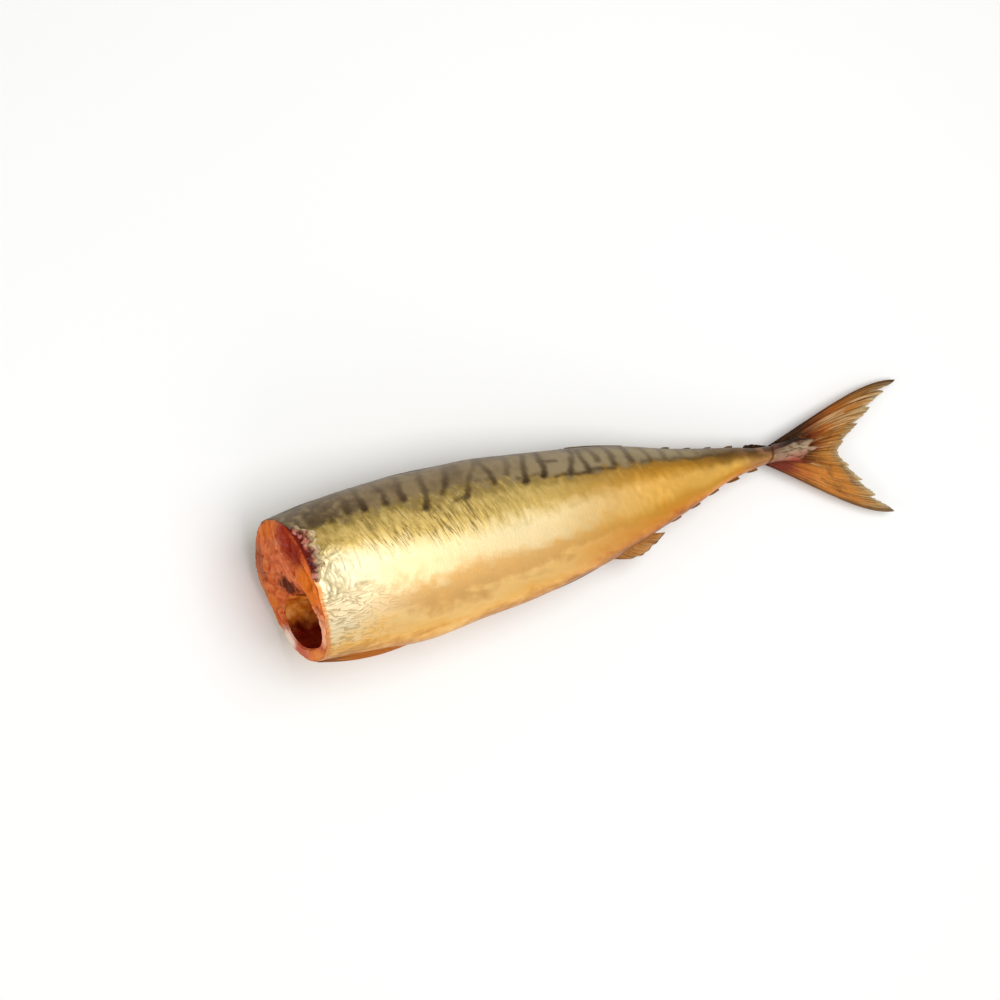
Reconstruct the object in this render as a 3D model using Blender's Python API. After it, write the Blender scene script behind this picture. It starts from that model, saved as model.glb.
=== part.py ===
# Hot-smoked mackerel, headless and gutted, lying on its right side.
# World axes: +X runs from the head cut to the tail, +Y is the back, +Z is the fish's left side, which faces up.
# The fish is worked out in its own frame first: s along the body from the head cut, d towards the back,
# l towards the left side, all in millimetres. place() then lays it on the floor.
import math

import bmesh
import bpy
from mathutils import Vector

MM = 0.001

# Body outline: s, height of the back, depth of the belly, half widths of the left and the right side
BODY_STATIONS = (
    (-4.0, 25.8, 26.6, 20.0, 22.8),
    (20.0, 28.4, 28.4, 21.0, 24.0),
    (45.0, 29.7, 30.2, 21.2, 23.8),
    (72.0, 28.8, 28.4, 20.0, 21.6),
    (100.0, 25.6, 26.0, 17.8, 18.6),
    (122.0, 22.8, 22.4, 15.4, 15.8),
    (145.0, 18.0, 16.4, 12.0, 12.2),
    (168.0, 11.6, 9.4, 8.4, 8.6),
    (188.0, 7.6, 3.9, 5.4, 5.4),
    (204.0, 4.3, 2.0, 3.5, 3.5),
    (213.0, 4.6, 3.8, 2.6, 2.6),
    (222.0, 5.0, 6.4, 1.2, 1.2),
    (229.0, 3.6, 7.4, 0.4, 0.4),
)
SECTION_POWER = 2.2  # 2 would be an ellipse; the body is a little fuller
BODY_END = 229.0
KEEL_AT = 207.0  # middle of the keel on each side of the tail root
KEEL_LENGTH = 7.0
KEEL_HEIGHT = 1.0

# How it lies: stiff from the smoking, tail end down, the soft underside pressed flat by its weight
REST_PITCH = math.radians(4.9)
REST_HEIGHT = 25.2  # middle of the head cut above the floor

# Head cut and belly cavity
CUT_SLANT = 0.092  # the back reaches this much further forward per millimetre of height
RIM_ROUNDING = 0.7
CAVITY_LENGTH = 118.0
CAVITY_SIDE = 0.4  # the cavity lies a little nearer to the thin left wall
CAVITY_STATIONS = (  # s, middle height, half height, half width
    (0.0, -12.4, 9.8, 14.2),
    (12.0, -12.8, 10.5, 15.0),
    (45.0, -13.6, 10.4, 14.4),
    (85.0, -12.4, 7.4, 9.0),
    (118.0, -11.0, 2.4, 2.6),
)
CAVITY_POWER = 2.4
BACKBONE_HEIGHT = 1.6
BACKBONE_RADIUS = 3.0
BLOCK_RELIEF = 1.5  # how far each block of cut muscle bulges
BLOCK_SPAN = 26.0  # from the backbone to the edge of a block
SEAM_DEPTH = 1.2  # groove between the left and the right block

# Tail fin, one row for each lobe: edge root, two edge controls and tip, each as (s, d)
UPPER_LOBE = ((201.0, 3.4), (224.0, 8.6), (252.0, 20.6), (268.0, 16.2))
LOWER_LOBE = ((200.0, -1.2), (217.0, -10.6), (238.5, -31.6), (254.0, -33.0))
FORK_ROOT = (214.0, -0.8)
FORK = (235.5, -4.6)
TAIL_FOLDS = 7  # folds between the rays in each lobe
TAIL_STEPS = 9
TAIL_THICKNESS = (2.2, 0.9)  # at the root and at the edge
TAIL_FOLD_RELIEF = 0.3
TAIL_RAGGED = 0.035  # share of a ray's length missing between two ray tips
TAIL_WAVE = 0.6

# Small fins. Each lies folded against the body: start and length along it, height, and lean backwards
ANAL_FIN = dict(start=127.0, length=19.0, height=3.0, lean=7.0)
BACK_FIN = dict(start=118.0, length=24.0, height=0.8, lean=5.0)
# Finlets: start, length and height. Those on the back lie folded into their groove, all but the last
BACK_FINLETS = ((157.0, 7.0, 0.6), (166.0, 7.0, 0.6), (175.0, 7.0, 0.6), (184.0, 7.0, 0.7), (193.5, 10.0, 1.5))
BELLY_FINLETS = ((153.0, 7.5, 1.6), (162.0, 7.5, 1.7), (171.5, 8.0, 1.6), (181.0, 9.0, 1.6), (191.0, 9.0, 1.4))
FINLET_ROOT = 0.55  # share of its length that is joined to the body
FINLET_SWEEP = 0.85  # how far the tip lies behind the root, as a share of its length
PELVIC_FIN_ROOT = 4.5
PELVIC_FIN_LENGTH = 36.0
PELVIC_FIN_UPPER_EDGE = math.radians(24)  # where its upper edge lies on the flank, measured from the belly line
PELVIC_FIN_OVERHANG = 2.6  # how far its lower edge hangs below the belly
PELVIC_FIN_GAP = 1.5  # from the lower edge to the middle plane
PELVIC_FIN_SINK = 0.965  # the upper edge is drawn in to this share of the body's section
FIN_THICKNESS = 1.1
FIN_ROOT_DEPTH = 1.6  # how far a small fin's root is sunk into the body

AROUND = 40  # points round the body
FACE_RINGS = 7
CAVITY_RINGS = 9
BODY_RINGS = 48


def through(stations, s):
    """Smooth value of each column at s, by monotone cubic pieces between the stations."""
    rows = [tuple(float(x) for x in row) for row in stations]
    s = min(max(s, rows[0][0]), rows[-1][0])
    i = next(k for k in range(len(rows) - 1) if s <= rows[k + 1][0])
    gap = rows[i + 1][0] - rows[i][0]
    t = (s - rows[i][0]) / gap

    def rise(k, c):
        return (rows[k + 1][c] - rows[k][c]) / (rows[k + 1][0] - rows[k][0])

    def slope(k, c):
        if k == 0 or k == len(rows) - 1:
            return rise(min(k, len(rows) - 2), c)
        before, after = rise(k - 1, c), rise(k, c)
        return 0.0 if before * after <= 0 else 2 * before * after / (before + after)

    values = []
    for c in range(1, len(rows[0])):
        a, b = rows[i][c], rows[i + 1][c]
        ma, mb = slope(i, c) * gap, slope(i + 1, c) * gap
        values.append(
            a * (1 + 2 * t) * (1 - t) ** 2 + ma * t * (1 - t) ** 2
            + b * t * t * (3 - 2 * t) + mb * t * t * (t - 1)
        )
    return values


def place(s, d, l):
    """Lays a point of the fish's own frame on the floor. Returns metres."""
    x = s * math.cos(REST_PITCH) + l * math.sin(REST_PITCH)
    z = REST_HEIGHT - s * math.sin(REST_PITCH) + l * math.cos(REST_PITCH)
    return Vector((x, d, z)) * MM


def rounded(angle, power):
    """Unit outline of a full oval. Angle 0 is the back and a quarter turn is the left side."""
    c, n = math.cos(angle), math.sin(angle)
    return (
        math.copysign(abs(c) ** (2 / power), c),
        math.copysign(abs(n) ** (2 / power), n),
    )


def skin_point(s, angle):
    back, belly, left, right = through(BODY_STATIONS, s)
    up, side = rounded(angle, SECTION_POWER)
    d = up * (back if up > 0 else belly)
    keel = KEEL_HEIGHT * math.exp(-(((s - KEEL_AT) / KEEL_LENGTH) ** 2)) * abs(side) ** 12
    l = side * ((left if side > 0 else right) + keel)
    return d, l


def press_on_floor(point):
    """The underside is pressed flat where it rests."""
    point.z = max(point.z, 0.0)
    return point


def face_slant(d):
    return -CUT_SLANT * d


def cavity_point(s, angle):
    middle, half_height, half_width = through(CAVITY_STATIONS, s)
    up, side = rounded(angle, CAVITY_POWER)
    return middle + up * half_height, CAVITY_SIDE + side * half_width


def face_relief(d, l):
    """How far the cut flesh stands forward: the muscle blocks bulge and the backbone stub stands a little proud."""
    from_bone = math.hypot(d - BACKBONE_HEIGHT, 1.25 * l)
    blocks = BLOCK_RELIEF * math.sin(min(from_bone, BLOCK_SPAN) / BLOCK_SPAN * math.pi)
    bone = 0.9 * math.exp(-((from_bone / BACKBONE_RADIUS) ** 2))
    seam = -SEAM_DEPTH * math.exp(-((l / 1.8) ** 2)) * (d > BACKBONE_HEIGHT + BACKBONE_RADIUS)
    torn = 0.45 * math.sin(0.5 * d + 1.7) * math.cos(0.4 * l - 0.6)
    return blocks + bone + seam + torn


def ring_angles():
    return [2 * math.pi * k / AROUND for k in range(AROUND)]


def body_rings():
    """All rings of the one closed skin: out of the cavity, over the cut face and along the body to the tail."""
    rings = []
    for k in range(CAVITY_RINGS, 0, -1):
        s = CAVITY_LENGTH * (k / CAVITY_RINGS) ** 1.35
        ring = []
        for a in ring_angles():
            d, l = cavity_point(s, a)
            ring.append(place(s, d, l))
        rings.append(ring)
    for k in range(FACE_RINGS + 1):
        t = k / FACE_RINGS
        ring = []
        for a in ring_angles():
            mouth, rim = cavity_point(0.0, a), skin_point(0.0, a)
            shrink = 1 - RIM_ROUNDING / 24.0
            d = mouth[0] + (rim[0] * shrink - mouth[0]) * t
            l = mouth[1] + (rim[1] * shrink - mouth[1]) * t
            forward = face_relief(d, l) * math.sin(math.pi * min(1.0, 0.12 + 0.8 * t))
            ring.append(press_on_floor(place(face_slant(d) - forward, d, l)))
        rings.append(ring)
    for k in range(BODY_RINGS + 1):
        t = k / BODY_RINGS
        ring = []
        for a in ring_angles():
            start = face_slant(skin_point(0.0, a)[0]) + RIM_ROUNDING
            s = start + (BODY_END - start) * t
            d, l = skin_point(s, a)
            ring.append(press_on_floor(place(s, d, l)))
        rings.append(ring)
    return rings


def make_body():
    """Lofts the rings by extruding one ring of edges into the next."""
    rings = body_rings()
    bm = bmesh.new()
    made = bmesh.ops.create_circle(bm, cap_ends=True, segments=AROUND, radius=1.0)
    ring = made["verts"]
    ring.sort(key=lambda v: math.atan2(v.co.y, v.co.x) % (2 * math.pi))
    for vert, point in zip(ring, rings[0]):
        vert.co = point
    edges = [e for e in bm.edges if e.is_boundary]
    for points in rings[1:]:
        grown = bmesh.ops.extrude_edge_only(bm, edges=edges)["geom"]
        edges = [g for g in grown if isinstance(g, bmesh.types.BMEdge) and g.is_boundary]
        fresh = {v for e in edges for v in e.verts}
        ring = [next(e.other_vert(v) for e in v.link_edges if e.other_vert(v) in fresh) for v in ring]
        for vert, point in zip(ring, points):
            vert.co = point
    bmesh.ops.holes_fill(bm, edges=edges)
    bmesh.ops.triangulate(bm, faces=bm.faces[:], quad_method="SHORT_EDGE")
    bmesh.ops.recalc_face_normals(bm, faces=bm.faces[:])
    return new_object("fish", bm)


def new_object(name, bm):
    mesh = bpy.data.meshes.new(name)
    bm.to_mesh(mesh)
    bm.free()
    thing = bpy.data.objects.new(name, mesh)
    bpy.context.scene.collection.objects.link(thing)
    return thing


def thin_sheet(name, columns, rows, middle, thickness):
    """A thin closed fin. middle(u, v) gives a point (s, d, l) and thickness(u, v) its thickness in millimetres."""
    bm = bmesh.new()
    bmesh.ops.create_grid(bm, x_segments=columns, y_segments=rows, size=0.5)
    bmesh.ops.triangulate(bm, faces=bm.faces[:], quad_method="FIXED")
    below = {v: (v.co.x + 0.5, v.co.y + 0.5) for v in bm.verts}
    under = bm.faces[:]
    copied = bmesh.ops.extrude_face_region(bm, geom=under, use_keep_orig=True)["geom"]
    above = {v: (v.co.x + 0.5, v.co.y + 0.5) for v in copied if isinstance(v, bmesh.types.BMVert)}
    for verts, side in ((below, -0.5), (above, 0.5)):
        for vert, (u, v) in verts.items():
            s, d, l = middle(u, v)
            vert.co = place(s, d, l + side * thickness(u, v))
    bmesh.ops.triangulate(bm, faces=[f for f in bm.faces if len(f.verts) > 3])
    bmesh.ops.recalc_face_normals(bm, faces=bm.faces[:])
    return new_object(name, bm)


def mix(a, b, t):
    return tuple(x + (y - x) * t for x, y in zip(a, b))


def bezier(points, t):
    """Point at t on a cubic curve given by its end points and two controls."""
    a, b, c, e = points
    weights = ((1 - t) ** 3, 3 * t * (1 - t) ** 2, 3 * t * t * (1 - t), t**3)
    return tuple(sum(w * p[k] for w, p in zip(weights, (a, b, c, e))) for k in (0, 1))


def ray_between(edge, share):
    """The ray at that share of the way from a lobe's leading edge to the fork."""
    middle_ray = (FORK_ROOT, mix(FORK_ROOT, FORK, 1 / 3), mix(FORK_ROOT, FORK, 2 / 3), FORK)
    return [mix(a, b, share) for a, b in zip(edge, middle_ray)]


def make_tail_fin():
    columns = 8 * TAIL_FOLDS

    def middle(u, v):
        """u runs from the upper leading edge over the fork to the lower one, v from the root to the edge."""
        share = 1 - abs(2 * u - 1)
        fold = 2 * math.pi * share * TAIL_FOLDS
        notch = TAIL_RAGGED * (0.5 - 0.5 * math.cos(fold)) * (v > 0.99)
        s, d = bezier(ray_between(UPPER_LOBE if u < 0.5 else LOWER_LOBE, share), v * (1 - notch))
        relief = TAIL_FOLD_RELIEF * math.cos(fold) * math.sin(math.pi * v * 0.8)
        return s, d, relief + TAIL_WAVE * math.sin(5.0 * u + 2.0 * v) * v

    def thickness(u, v):
        root, edge = TAIL_THICKNESS
        return root + (edge - root) * v**0.6

    return thin_sheet("tail_fin", columns, TAIL_STEPS, middle, thickness)


def make_ridge_fin(name, side, start, length, height, lean):
    """A folded fin on the back (side 1) or the belly (side -1), its rays lying backwards."""

    def middle(u, v):
        s = start + length * u
        back, belly = through(BODY_STATIONS, s)[:2]
        edge = back if side > 0 else belly
        crown = height * math.sin(math.pi * min(1.0, 0.35 + u)) ** 0.7 * (1 - 0.35 * u)
        d = edge - FIN_ROOT_DEPTH + (FIN_ROOT_DEPTH + crown) * v
        return s + lean * v * v, side * d, 0.35 * math.sin(9 * u + 3 * v) * v

    return thin_sheet(name, 8, 3, middle, lambda u, v: FIN_THICKNESS * (1.3 - 0.6 * v))


def make_finlets(side, rows):
    """The row of small separate flaps between the back or anal fin and the tail, swept back against the body."""
    made = []
    for k, (start, length, height) in enumerate(rows):

        def middle(u, v, start=start, length=length, height=height, k=k):
            s = start + length * (FINLET_ROOT * u * (1 - 0.75 * v) + FINLET_SWEEP * v)
            back, belly = through(BODY_STATIONS, s)[:2]
            edge = back if side > 0 else belly
            rise = -FIN_ROOT_DEPTH * (1 - v) ** 3 + height * math.sin(math.pi / 2 * v)
            return s, side * (edge + rise), 0.5 * v * math.sin(2.1 * k + 0.8)

        made.append(thin_sheet(f"finlet_{k}", 2, 3, middle, lambda u, v: FIN_THICKNESS * (1.2 - 0.5 * v)))
    return made


def make_pelvic_fin(side):
    """One of the pair under the belly, folded back along it like a leaf. u runs down it and v to its tip."""

    def middle(u, v):
        s = PELVIC_FIN_ROOT + PELVIC_FIN_LENGTH * v
        leaf = math.sin(math.pi * (0.12 + 0.85 * v))
        upper = skin_point(s, math.pi - side * PELVIC_FIN_UPPER_EDGE * (1 - 0.75 * v**2))
        upper = [PELVIC_FIN_SINK * x for x in upper]
        belly = through(BODY_STATIONS, s)[1]
        lower = (-belly - PELVIC_FIN_OVERHANG * leaf + FIN_ROOT_DEPTH * 0.4, side * PELVIC_FIN_GAP)
        d, l = mix(upper, lower, u)
        return s, d, l + side * 0.8 * math.sin(math.pi * u) * leaf

    return thin_sheet(f"pelvic_fin_{side}", 5, 9, middle, lambda u, v: FIN_THICKNESS * (1.7 - 0.7 * v))


def fuse(body, pieces):
    """One union joins the fins to the body, and is applied."""
    group = bpy.data.collections.new("fins")
    bpy.context.scene.collection.children.link(group)
    for piece in pieces:
        bpy.context.scene.collection.objects.unlink(piece)
        group.objects.link(piece)
    union = body.modifiers.new("join_fins", "BOOLEAN")
    union.operation = "UNION"
    union.operand_type = "COLLECTION"
    union.collection = group
    union.solver = "MANIFOLD"
    graph = bpy.context.evaluated_depsgraph_get()
    joined = bpy.data.meshes.new_from_object(body.evaluated_get(graph))
    body.modifiers.clear()
    body.data = joined
    for piece in list(group.objects):
        bpy.data.objects.remove(piece)
    bpy.data.collections.remove(group)


def centre_on_floor(thing):
    """Moves the mesh so that the origin is at the bottom centre of its box."""
    points = [v.co for v in thing.data.vertices]
    low = Vector([min(p[k] for p in points) for k in range(3)])
    high = Vector([max(p[k] for p in points) for k in range(3)])
    for v in thing.data.vertices:
        v.co -= Vector(((low.x + high.x) / 2, (low.y + high.y) / 2, low.z))


def golden_skin():
    material = bpy.data.materials.new("smoked_skin")
    material.use_nodes = True
    shader = material.node_tree.nodes["Principled BSDF"]
    shader.inputs["Base Color"].default_value = (0.62, 0.34, 0.09, 1.0)
    shader.inputs["Metallic"].default_value = 0.6
    shader.inputs["Roughness"].default_value = 0.38
    return material


def main():
    for thing in list(bpy.data.objects):
        bpy.data.objects.remove(thing)
    fish = make_body()
    fins = [make_tail_fin()]
    fins.append(make_ridge_fin("anal_fin", -1, **ANAL_FIN))
    fins.append(make_ridge_fin("back_fin", 1, **BACK_FIN))
    fins += make_finlets(1, BACK_FINLETS)
    fins += make_finlets(-1, BELLY_FINLETS)
    fins += [make_pelvic_fin(1), make_pelvic_fin(-1)]
    fuse(fish, fins)
    centre_on_floor(fish)
    fish.data.materials.clear()
    fish.data.materials.append(golden_skin())
    fish.data.shade_smooth()
    fish.data.set_sharp_from_angle(angle=math.radians(40))


main()
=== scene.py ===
import math

import bmesh
import bpy
from mathutils import Matrix, Vector, noise


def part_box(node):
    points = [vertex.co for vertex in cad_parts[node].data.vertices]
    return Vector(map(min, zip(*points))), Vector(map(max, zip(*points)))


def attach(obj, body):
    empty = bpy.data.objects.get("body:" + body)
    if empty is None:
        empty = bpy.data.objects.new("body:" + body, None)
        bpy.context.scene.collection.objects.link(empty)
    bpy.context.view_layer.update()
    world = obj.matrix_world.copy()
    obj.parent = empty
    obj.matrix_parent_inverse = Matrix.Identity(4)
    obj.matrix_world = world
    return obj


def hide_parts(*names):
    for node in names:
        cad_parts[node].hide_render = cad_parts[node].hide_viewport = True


# Hot-smoked mackerel without its head, lying on its right side.
# The fish is worked out in its own frame in millimetres: s from the head cut to the tail, d towards the back,
# l towards the left side. onTable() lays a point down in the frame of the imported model.

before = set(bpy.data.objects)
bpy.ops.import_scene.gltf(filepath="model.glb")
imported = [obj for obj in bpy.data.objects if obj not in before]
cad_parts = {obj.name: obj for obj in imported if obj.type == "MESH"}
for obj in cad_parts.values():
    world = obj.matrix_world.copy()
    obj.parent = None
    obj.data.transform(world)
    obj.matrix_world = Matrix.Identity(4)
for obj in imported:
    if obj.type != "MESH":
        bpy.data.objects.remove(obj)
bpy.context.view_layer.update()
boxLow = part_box("fish")[0]
mm = 0.001
print("frame loaded")

lying = {
    "pitch": math.radians(4.9),  # stiff body, tail end down
    "middleHeight": 25.2,  # middle of the head cut above the table
    "cutBehindBox": 3.4,  # from the box's end to the middle of the head cut
    "tailTipDepth": 33.0,  # lower tail tip below the middle line
    "clearance": 0.1,  # above the table, so that the two never share a plane
}

bodyShape = {
    "stations": (  # s, height of the back, depth of the belly, half widths of the left and the right side
        (-4.0, 25.8, 26.6, 20.0, 22.8),
        (20.0, 28.4, 28.4, 21.0, 24.0),
        (45.0, 29.7, 30.2, 21.2, 23.8),
        (72.0, 28.8, 28.4, 20.0, 21.6),
        (100.0, 25.6, 26.0, 17.8, 18.6),
        (122.0, 22.8, 22.4, 15.4, 15.8),
        (145.0, 18.0, 16.4, 12.0, 12.2),
        (168.0, 11.6, 9.4, 8.4, 8.6),
        (188.0, 7.6, 3.9, 5.4, 5.4),
        (204.0, 4.3, 2.0, 3.5, 3.5),
        (213.0, 4.6, 3.8, 2.6, 2.6),
        (222.0, 5.0, 6.4, 1.2, 1.2),
        (229.0, 3.6, 7.4, 0.4, 0.4),
    ),
    "sectionPower": 2.2,
    "keelAt": 207.0,
    "keelLength": 7.0,
    "keelHeight": 1.0,
}

cutShape = {
    "slant": 0.092,  # the back reaches this much further forward per millimetre of height
    "boneHeight": 1.6,
    "blockRelief": 1.5,
    "blockSpan": 26.0,
    "seamDepth": 1.2,  # groove between the two sides of the back
    "seamWidth": 1.8,
}

cavityShape = {
    "stations": (  # s, middle height, half height, half width
        (0.0, -12.4, 9.8, 14.2),
        (12.0, -12.8, 10.5, 15.0),
        (45.0, -13.6, 10.4, 14.4),
        (85.0, -12.4, 7.4, 9.0),
        (118.0, -11.0, 2.4, 2.6),
    ),
    "power": 2.4,
    "side": 0.4,
    "length": 118.0,
}


def through(stations, s):  # smooth value of each column at s, without overshoot
    s = min(max(s, stations[0][0]), stations[-1][0])
    i = next(k for k in range(len(stations) - 1) if s <= stations[k + 1][0])
    last = len(stations) - 2
    here, there = stations[i], stations[i + 1]
    gap = there[0] - here[0]
    t = (s - here[0]) / gap
    before = stations[max(i - 1, 0)]
    after = stations[min(i + 2, last + 1)]
    values = []
    for c in range(1, len(here)):
        rise = (there[c] - here[c]) / gap
        riseBefore = (here[c] - before[c]) / (here[0] - before[0]) if i > 0 else rise
        riseAfter = (after[c] - there[c]) / (after[0] - there[0]) if i < last else rise
        slopeHere = 0.0 if rise * riseBefore <= 0 else 2 * rise * riseBefore / (rise + riseBefore)
        slopeThere = 0.0 if rise * riseAfter <= 0 else 2 * rise * riseAfter / (rise + riseAfter)
        values.append(
            here[c] * (1 + 2 * t) * (1 - t) ** 2 + slopeHere * gap * t * (1 - t) ** 2
            + there[c] * t * t * (3 - 2 * t) + slopeThere * gap * t * t * (t - 1)
        )
    return values


def onTable(s, d, l):
    x = s * math.cos(lying["pitch"]) + l * math.sin(lying["pitch"])
    z = lying["middleHeight"] - s * math.sin(lying["pitch"]) + l * math.cos(lying["pitch"])
    return Vector((
        boxLow.x + (lying["cutBehindBox"] + x) * mm,
        boxLow.y + (lying["tailTipDepth"] + d) * mm,
        max(z, lying["clearance"]) * mm,
    ))


def smooth(low, high, x):  # 0 below low, 1 above high
    t = min(max((x - low) / (high - low), 0.0), 1.0)
    return t * t * (3 - 2 * t)


def hump(low, high, x, soft=0.25):  # 1 between low and high, 0 outside, with soft ends
    edge = (high - low) * soft
    return smooth(low, low + edge, x) * (1 - smooth(high - edge, high, x))


def bell(x, middle, width):
    return math.exp(-(((x - middle) / width) ** 2))


def ripple(x, y, z):  # soft noise about 0
    return noise.noise(Vector((x, y, z)))


def roundOval(angle, power):  # angle 0 is the back, a quarter turn the left side
    c, n = math.cos(angle), math.sin(angle)
    return math.copysign(abs(c) ** (2 / power), c), math.copysign(abs(n) ** (2 / power), n)


def skinPoint(s, angle):  # d, l and the way out of the body
    back, belly, left, right = through(bodyShape["stations"], s)
    up, side = roundOval(angle, bodyShape["sectionPower"])
    height = back if up > 0 else belly
    keel = bell(s, bodyShape["keelAt"], bodyShape["keelLength"]) * abs(side) ** 12
    width = (left if side > 0 else right) + bodyShape["keelHeight"] * keel
    out = Vector((up / height, side / width))
    return up * height, side * width, out.normalized()


def cavityPoint(s, angle):
    middle, halfHeight, halfWidth = through(cavityShape["stations"], s)
    up, side = roundOval(angle, cavityShape["power"])
    return middle + up * halfHeight, cavityShape["side"] + side * halfWidth


def boneDistance(d, l):  # from the backbone; sideways counts a quarter more
    return math.hypot(d - cutShape["boneHeight"], 1.25 * l)


def cutRelief(d, l):  # how far the cut flesh stands forward
    fromBone = boneDistance(d, l)
    span = cutShape["blockSpan"]
    blocks = cutShape["blockRelief"] * math.sin(min(fromBone, span) / span * math.pi)
    seam = cutShape["seamDepth"] * bell(l, 0.0, cutShape["seamWidth"]) * smooth(4.0, 7.0, d)
    return blocks - seam


def layOut(bm, attributes, pointAt):  # pointAt(vert) gives a place, a UV in metres and attribute values
    uvLayer = bm.loops.layers.uv.new("UVMap")
    layers = [bm.verts.layers.float.new(key) for key in attributes]
    bm.verts.index_update()
    uvs = {}
    for vert in bm.verts:
        vert.co, uvs[vert.index], values = pointAt(vert)
        for layer, value in zip(layers, values):
            vert[layer] = value
    for face in bm.faces:
        for loop in face.loops:
            loop[uvLayer].uv = uvs[loop.vert.index]


def gridPiece(name, columns, rows, pointAt, attributes, weld=False):  # pointAt(i, j): one point of the grid
    bm = bmesh.new()
    bmesh.ops.create_grid(bm, x_segments=columns, y_segments=rows, size=0.5)
    layOut(bm, attributes, lambda vert: pointAt(
        round((vert.co.x + 0.5) * columns), round((vert.co.y + 0.5) * rows)))
    if weld:
        bmesh.ops.remove_doubles(bm, verts=bm.verts[:], dist=0.000002)
    return finishMesh(name, bm)


def finishMesh(name, bm):
    mesh = bpy.data.meshes.new(name)
    bm.to_mesh(mesh)
    bm.free()
    mesh.shade_smooth()
    piece = bpy.data.objects.new(name, mesh)
    bpy.context.scene.collection.objects.link(piece)
    return piece


def thinPiece(name, columns, rows, middleAt, attributes):
    # middleAt(u, v) gives s, d, l, the thickness, a UV and attribute values; both faces and the rim are made
    bm = bmesh.new()
    bmesh.ops.create_grid(bm, x_segments=columns, y_segments=rows, size=0.5)
    copied = bmesh.ops.extrude_face_region(bm, geom=bm.faces[:], use_keep_orig=True)["geom"]
    upper = {vert for vert in copied if isinstance(vert, bmesh.types.BMVert)}

    def pointAt(vert):
        s, d, l, thickness, uv, values = middleAt(vert.co.x + 0.5, vert.co.y + 0.5)
        return onTable(s, d, l + (0.5 if vert in upper else -0.5) * thickness), uv, values

    layOut(bm, attributes, pointAt)
    bmesh.ops.recalc_face_normals(bm, faces=bm.faces[:])
    return finishMesh(name, bm)


def addPiece(piece, material):
    piece.data.materials.append(material)
    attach(piece, "root")
    return piece


def linearColour(code):  # sRGB hex to linear
    channels = [int(code[k:k + 2], 16) / 255 for k in (1, 3, 5)]
    return [c / 12.92 if c <= 0.04045 else ((c + 0.055) / 1.055) ** 2.4 for c in channels] + [1.0]


def addNode(tree, kind, *values, **settings):
    # values fill the node's inputs in order; a setting with a capital goes to the input of that name, any
    # other to the node itself; an input takes a number, a hex colour, a node or a node's socket
    made = tree.nodes.new("ShaderNode" + kind)
    named = {key: settings.pop(key) for key in list(settings) if key[0].isupper()}
    for k, (position, shade) in enumerate(settings.pop("stops", ())):
        if k == 0:
            made.color_ramp.elements.remove(made.color_ramp.elements[1])
        element = made.color_ramp.elements[0] if k == 0 else made.color_ramp.elements.new(position)
        element.position = position
        element.color = linearColour(shade) if isinstance(shade, str) else (shade, shade, shade, 1.0)
    for key, value in settings.items():
        setattr(made, key, value)
    sockets = [socket for socket in made.inputs if socket.enabled]
    for socket, value in list(zip(sockets, values)) + [(made.inputs[key], named[key]) for key in named]:
        if isinstance(value, bpy.types.Node):
            value = next(output for output in value.outputs if output.enabled)
        if isinstance(value, bpy.types.NodeSocket):
            tree.links.new(value, socket)
        else:
            socket.default_value = linearColour(value) if isinstance(value, str) else value
    return made


def paint(tree, ground, shade, *masks):
    # lays a shade over the ground where every mask holds: a node, or a value with where it starts to hold,
    # where it holds fully, and how much of the shade shows there
    product = None
    for mask in masks:
        if isinstance(mask, tuple):
            value, start, full, share = mask
            mask = addNode(tree, "MapRange", value, start, full, 0.0, share, interpolation_type="SMOOTHSTEP")
        product = addNode(tree, "Math", product, mask, operation="MULTIPLY") if product else mask
    return addNode(tree, "Mix", product, ground, shade, data_type="RGBA")


def stretchedNoise(tree, place, size, **settings):  # size of the grains along the two axes
    scaled = addNode(tree, "Mapping", place, Scale=(1 / size[0], 1 / size[1], 1.0))
    return addNode(tree, "TexNoise", scaled, Scale=1.0, **settings)


def linesIn(tree, pattern, width):  # 1 in the middle of the pattern's values, 0 beyond the width
    offset = addNode(tree, "Math", pattern, 0.5, operation="SUBTRACT")
    offset = addNode(tree, "Math", offset, operation="ABSOLUTE")
    return addNode(tree, "MapRange", offset, 0.0, width, 1.0, 0.0)


def newMaterial(name, values):
    material = bpy.data.materials.new(name)
    material.use_nodes = True
    shader = material.node_tree.nodes["Principled BSDF"]
    for key, value in values.items():
        shader.inputs[key].default_value = linearColour(value) if isinstance(value, str) else value
    return material, material.node_tree


def feed(material, results):  # the node for each of the shader's inputs that a pattern drives
    tree = material.node_tree
    for key, node in results.items():
        output = next(output for output in node.outputs if output.enabled)
        tree.links.new(output, tree.nodes["Principled BSDF"].inputs[key])
    return material


# Camera and light

cameraSetup = {
    "target": (-41.4, 12.43, 12.0),  # millimetres
    "azimuth": -98.593,
    "elevation": 67.463,
    "roll": 84.479,
    "distance": 1200.0,
    "lens": 118.48,
}


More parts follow.
